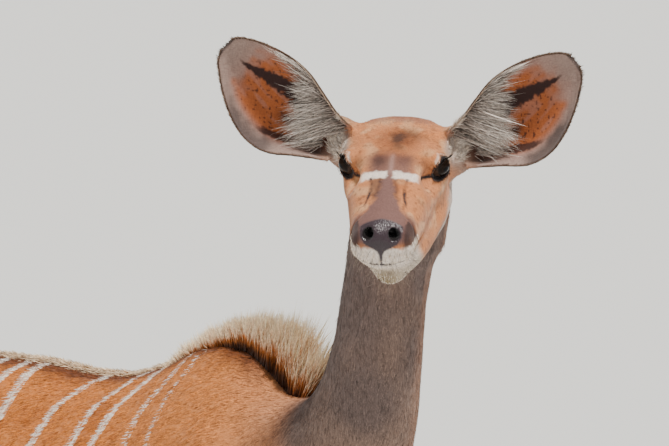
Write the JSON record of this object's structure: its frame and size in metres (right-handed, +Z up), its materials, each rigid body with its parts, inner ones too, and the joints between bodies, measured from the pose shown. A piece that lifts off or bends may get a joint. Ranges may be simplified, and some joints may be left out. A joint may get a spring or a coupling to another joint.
{
  "type": "greater kudu",
  "caption": "Standing hornless antelope with large cupped ears, a crest of hair on the withers, white flank stripes and its head turned.",
  "frame": {"origin": "on the floor under the middle of the animal's bounding box", "axes": "+Z up, the animal faces -Y, its left side is +X"},
  "size_m": [0.4854, 1.7452, 1.6735],
  "materials": {
    "coat": "short flat hair, tan with thin white stripes",
    "neck_coat": "short flat hair, grey brown",
    "mane": "long coarse hair, pale tips over dark roots",
    "ear_skin": "thin skin with sparse hair, brown inside with dark streaks",
    "eye": "wet and glossy, almost black",
    "horn": "hoof horn, satin black brown"
  },
  "bodies": {
    "root": {"foreleg_left_upper": "coat", "foreleg_left_lower": "coat", "foreleg_left_claw_outer": "horn", "foreleg_left_dewclaw_outer": "horn", "foreleg_left_claw_inner": "horn", "foreleg_left_dewclaw_inner": "horn", "hindleg_left_upper": "coat", "hindleg_left_lower": "coat", "hindleg_left_claw_outer": "horn", "hindleg_left_dewclaw_outer": "horn", "hindleg_left_claw_inner": "horn", "hindleg_left_dewclaw_inner": "horn", "ear_left": "ear_skin", "eye_left": "eye", "foreleg_right_upper": "coat", "foreleg_right_lower": "coat", "foreleg_right_claw_outer": "horn", "foreleg_right_dewclaw_outer": "horn", "foreleg_right_claw_inner": "horn", "foreleg_right_dewclaw_inner": "horn", "hindleg_right_upper": "coat", "hindleg_right_lower": "coat", "hindleg_right_claw_outer": "horn", "hindleg_right_dewclaw_outer": "horn", "hindleg_right_claw_inner": "horn", "hindleg_right_dewclaw_inner": "horn", "ear_right": "ear_skin", "eye_right": "eye", "tail": "coat", "head": "coat", "neck": "neck_coat", "trunk": "coat", "crest": "mane"}
  },
  "joints": []
}
